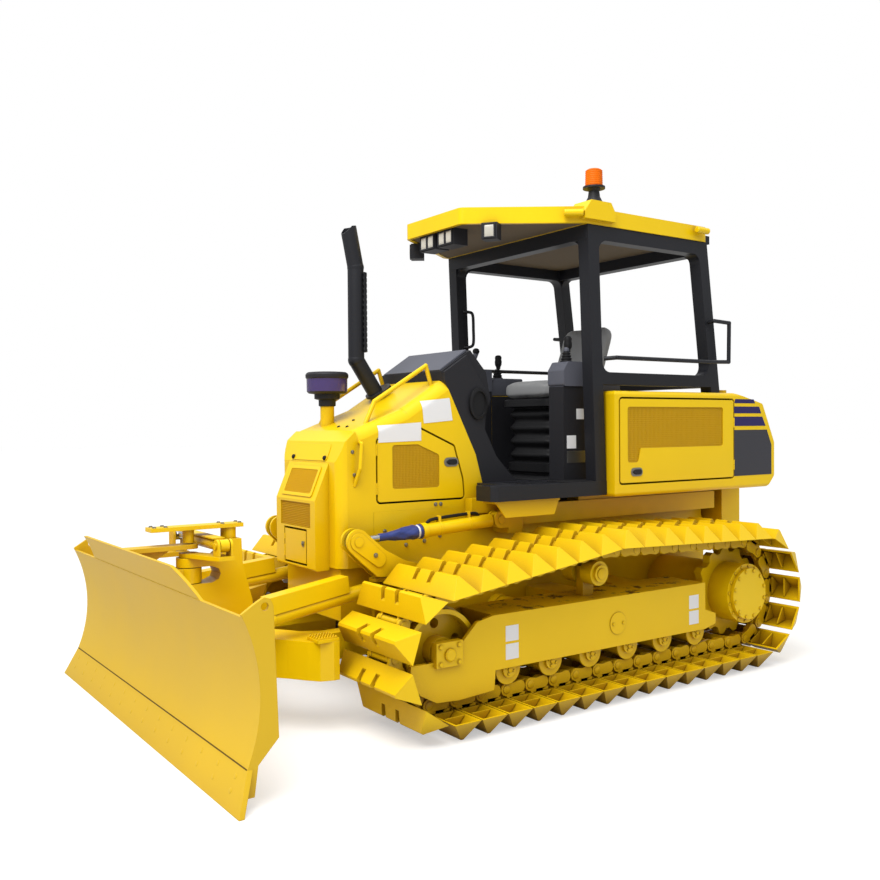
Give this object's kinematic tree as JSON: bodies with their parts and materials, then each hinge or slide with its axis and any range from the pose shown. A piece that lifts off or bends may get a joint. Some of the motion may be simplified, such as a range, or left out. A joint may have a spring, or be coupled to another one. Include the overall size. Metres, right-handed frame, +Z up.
{
  "type": "crawler bulldozer",
  "caption": "Small crawler bulldozer with an open canopy, wide triangular track shoes, hinged body doors and a blade that lifts, angles and tilts on hydraulic cylinders.",
  "frame": {"origin": "centre of the bounding box at ground level, under the track ridges", "axes": "+X forward towards the blade, +Y to the operator's left, +Z up"},
  "size_m": [3.9556, 2.54, 2.85],
  "materials": {
    "amber": "gloss",
    "cast": "matt",
    "dark_paint": "satin",
    "dark_plastic": "matt",
    "grey_plastic": "matt",
    "steel": "satin",
    "vinyl": "satin",
    "yellow_paint": "satin"
  },
  "bodies": {
    "chassis": {"main_frame": "yellow_paint", "side_beams": "yellow_paint", "lift_brackets": "yellow_paint", "engine_block": "cast", "track_frame_left": "yellow_paint", "track_frame_right": "yellow_paint", "track_left": "yellow_paint", "track_right": "yellow_paint", "sprocket_left": "yellow_paint", "sprocket_right": "yellow_paint", "idler_left": "yellow_paint", "idler_right": "yellow_paint", "rollers_left": "yellow_paint", "rollers_right": "yellow_paint", "hood": "yellow_paint", "nose_grille": "yellow_paint", "exhaust_stack": "dark_paint", "air_cleaner": "dark_plastic", "platform": "dark_paint", "dashboard": "dark_plastic", "seat_base": "dark_plastic", "seat_cushion": "vinyl", "consoles": "grey_plastic", "canopy_frame": "dark_paint", "roof": "yellow_paint", "work_lamps": "dark_plastic", "beacon_base": "dark_plastic", "beacon_lens": "amber", "rear_body": "yellow_paint", "radiator": "dark_paint"},
    "nose_door": {"nose_door": "yellow_paint"},
    "engine_door_left": {"engine_door_left": "yellow_paint"},
    "engine_door_right": {"engine_door_right": "yellow_paint"},
    "side_door_left": {"side_door_left": "yellow_paint"},
    "side_door_right": {"side_door_right": "yellow_paint"},
    "rear_door": {"rear_door": "yellow_paint"},
    "push_frame": {"push_frame": "yellow_paint", "lift_lugs": "yellow_paint"},
    "pitch_link": {"pitch_link": "yellow_paint"},
    "trunnion": {"trunnion": "yellow_paint"},
    "tilt_barrel": {"tilt_barrel": "yellow_paint"},
    "tilt_rod": {"tilt_rod": "steel"},
    "lift_barrel_left": {"lift_barrel_left": "yellow_paint"},
    "lift_barrel_right": {"lift_barrel_right": "yellow_paint"},
    "lift_rod_left": {"lift_rod_left": "steel"},
    "lift_rod_right": {"lift_rod_right": "steel"},
    "angle_race_left": {"angle_race_left": "steel"},
    "angle_race_right": {"angle_race_right": "steel"},
    "angle_barrel_left": {"angle_barrel_left": "yellow_paint"},
    "angle_barrel_right": {"angle_barrel_right": "yellow_paint"},
    "angle_rod_left": {"angle_rod_left": "steel"},
    "angle_rod_right": {"angle_rod_right": "steel"},
    "blade": {"blade": "yellow_paint", "cutting_edge": "yellow_paint"}
  },
  "joints": [
    {"name": "blade_lift", "type": "hinge", "parent": "chassis", "child": "push_frame", "pos_m": [0.00069, 0, 0.4], "axis": [0, -1, 0], "range_deg": [-12, 25]},
    {"name": "blade_angle", "type": "hinge", "parent": "push_frame", "child": "trunnion", "pos_m": [1.65569, 0, 0.7], "axis": [0, 0, 1], "range_deg": [-25, 25]},
    {"name": "blade_tilt", "type": "hinge", "parent": "trunnion", "child": "blade", "pos_m": [1.75569, 0, 0.5], "axis": [1, 0, 0], "range_deg": [-8, 8]},
    {"name": "pitch_link_swing", "type": "hinge", "parent": "push_frame", "child": "pitch_link", "pos_m": [1.45069, 0, 0.87], "axis": [0, 0, 1], "range_deg": [-15, 15]},
    {"name": "tilt_barrel_swing", "type": "hinge", "parent": "trunnion", "child": "tilt_barrel", "pos_m": [1.56569, 0.22, 0.86], "axis": [1, 0, 0], "range_deg": [-6, 6]},
    {"name": "tilt_rod_slide", "type": "slide", "parent": "tilt_barrel", "child": "tilt_rod", "axis": [0, -1, 0], "range_m": [-0.055, 0.055]},
    {"name": "lift_barrel_swing_left", "type": "hinge", "parent": "chassis", "child": "lift_barrel_left", "pos_m": [0.08069, 0.435, 0.909], "axis": [0, -1, 0], "range_deg": [-15, 30]},
    {"name": "lift_rod_slide_left", "type": "slide", "parent": "lift_barrel_left", "child": "lift_rod_left", "axis": [0.9982, 0, -0.0592], "range_m": [-0.215, 0.105]},
    {"name": "lift_barrel_swing_right", "type": "hinge", "parent": "chassis", "child": "lift_barrel_right", "pos_m": [0.08069, -0.435, 0.909], "axis": [0, -1, 0], "range_deg": [-15, 30]},
    {"name": "lift_rod_slide_right", "type": "slide", "parent": "lift_barrel_right", "child": "lift_rod_right", "axis": [0.9982, 0, -0.0592], "range_m": [-0.215, 0.105]},
    {"name": "angle_race_turn_left", "type": "hinge", "parent": "push_frame", "child": "angle_race_left", "pos_m": [0.82569, 0.388, 0.61], "axis": [-0.0445, 0.3848, 0.9219], "range_deg": [-6, 6]},
    {"name": "angle_barrel_nod_left", "type": "hinge", "parent": "angle_race_left", "child": "angle_barrel_left", "pos_m": [0.82569, 0.388, 0.61], "axis": [0.1149, -0.9934, 0], "range_deg": [-6, 6]},
    {"name": "angle_rod_slide_left", "type": "slide", "parent": "angle_barrel_left", "child": "angle_rod_left", "axis": [0.9865, 0.1141, -0.1173], "range_m": [-0.21, 0.21]},
    {"name": "angle_race_turn_right", "type": "hinge", "parent": "push_frame", "child": "angle_race_right", "pos_m": [0.82569, -0.388, 0.61], "axis": [-0.0445, -0.3848, 0.9219], "range_deg": [-6, 6]},
    {"name": "angle_barrel_nod_right", "type": "hinge", "parent": "angle_race_right", "child": "angle_barrel_right", "pos_m": [0.82569, -0.388, 0.61], "axis": [-0.1149, -0.9934, 0], "range_deg": [-6, 6]},
    {"name": "angle_rod_slide_right", "type": "slide", "parent": "angle_barrel_right", "child": "angle_rod_right", "axis": [0.9865, -0.1141, -0.1173], "range_m": [-0.21, 0.21]},
    {"name": "engine_door_left_hinge", "type": "hinge", "parent": "chassis", "child": "engine_door_left", "pos_m": [0.78069, 0.329, 1.2], "axis": [0, 0, 1], "range_deg": [-100, 0]},
    {"name": "side_door_left_hinge", "type": "hinge", "parent": "chassis", "child": "side_door_left", "pos_m": [-1.56931, 0.719, 1.3], "axis": [0, 0, -1], "range_deg": [-100, 0]},
    {"name": "engine_door_right_hinge", "type": "hinge", "parent": "chassis", "child": "engine_door_right", "pos_m": [0.78069, -0.329, 1.2], "axis": [0, 0, -1], "range_deg": [-100, 0]},
    {"name": "side_door_right_hinge", "type": "hinge", "parent": "chassis", "child": "side_door_right", "pos_m": [-1.56931, -0.719, 1.3], "axis": [0, 0, 1], "range_deg": [-100, 0]},
    {"name": "rear_door_hinge", "type": "hinge", "parent": "chassis", "child": "rear_door", "pos_m": [-1.97331, -0.405, 1], "axis": [0, 0, -1], "range_deg": [-110, 0]},
    {"name": "nose_door_hinge", "type": "hinge", "parent": "chassis", "child": "nose_door", "pos_m": [1.07969, -0.125, 0.8], "axis": [0, 0, 1], "range_deg": [-100, 0]}
  ],
  "couplings": [
    {"joint": "pitch_link_swing", "follows": "blade_tilt", "ratio": -1.756},
    {"joint": "tilt_barrel_swing", "follows": "blade_tilt", "ratio": 0.647},
    {"joint": "tilt_rod_slide", "follows": "blade_tilt", "m_per_rad": 0.36},
    {"joint": "lift_barrel_swing_left", "follows": "blade_lift", "ratio": 1.15},
    {"joint": "lift_rod_slide_left", "follows": "blade_lift", "m_per_rad": -0.487},
    {"joint": "lift_barrel_swing_right", "follows": "blade_lift", "ratio": 1.15},
    {"joint": "lift_rod_slide_right", "follows": "blade_lift", "m_per_rad": -0.487},
    {"joint": "angle_race_turn_left", "follows": "blade_angle", "ratio": 0.16108},
    {"joint": "angle_barrel_nod_left", "follows": "blade_tilt", "ratio": 0.522},
    {"joint": "angle_rod_slide_left", "follows": "blade_angle", "m_per_rad": -0.4712},
    {"joint": "angle_race_turn_right", "follows": "blade_angle", "ratio": 0.16108},
    {"joint": "angle_barrel_nod_right", "follows": "blade_tilt", "ratio": -0.522},
    {"joint": "angle_rod_slide_right", "follows": "blade_angle", "m_per_rad": 0.4712}
  ]
}
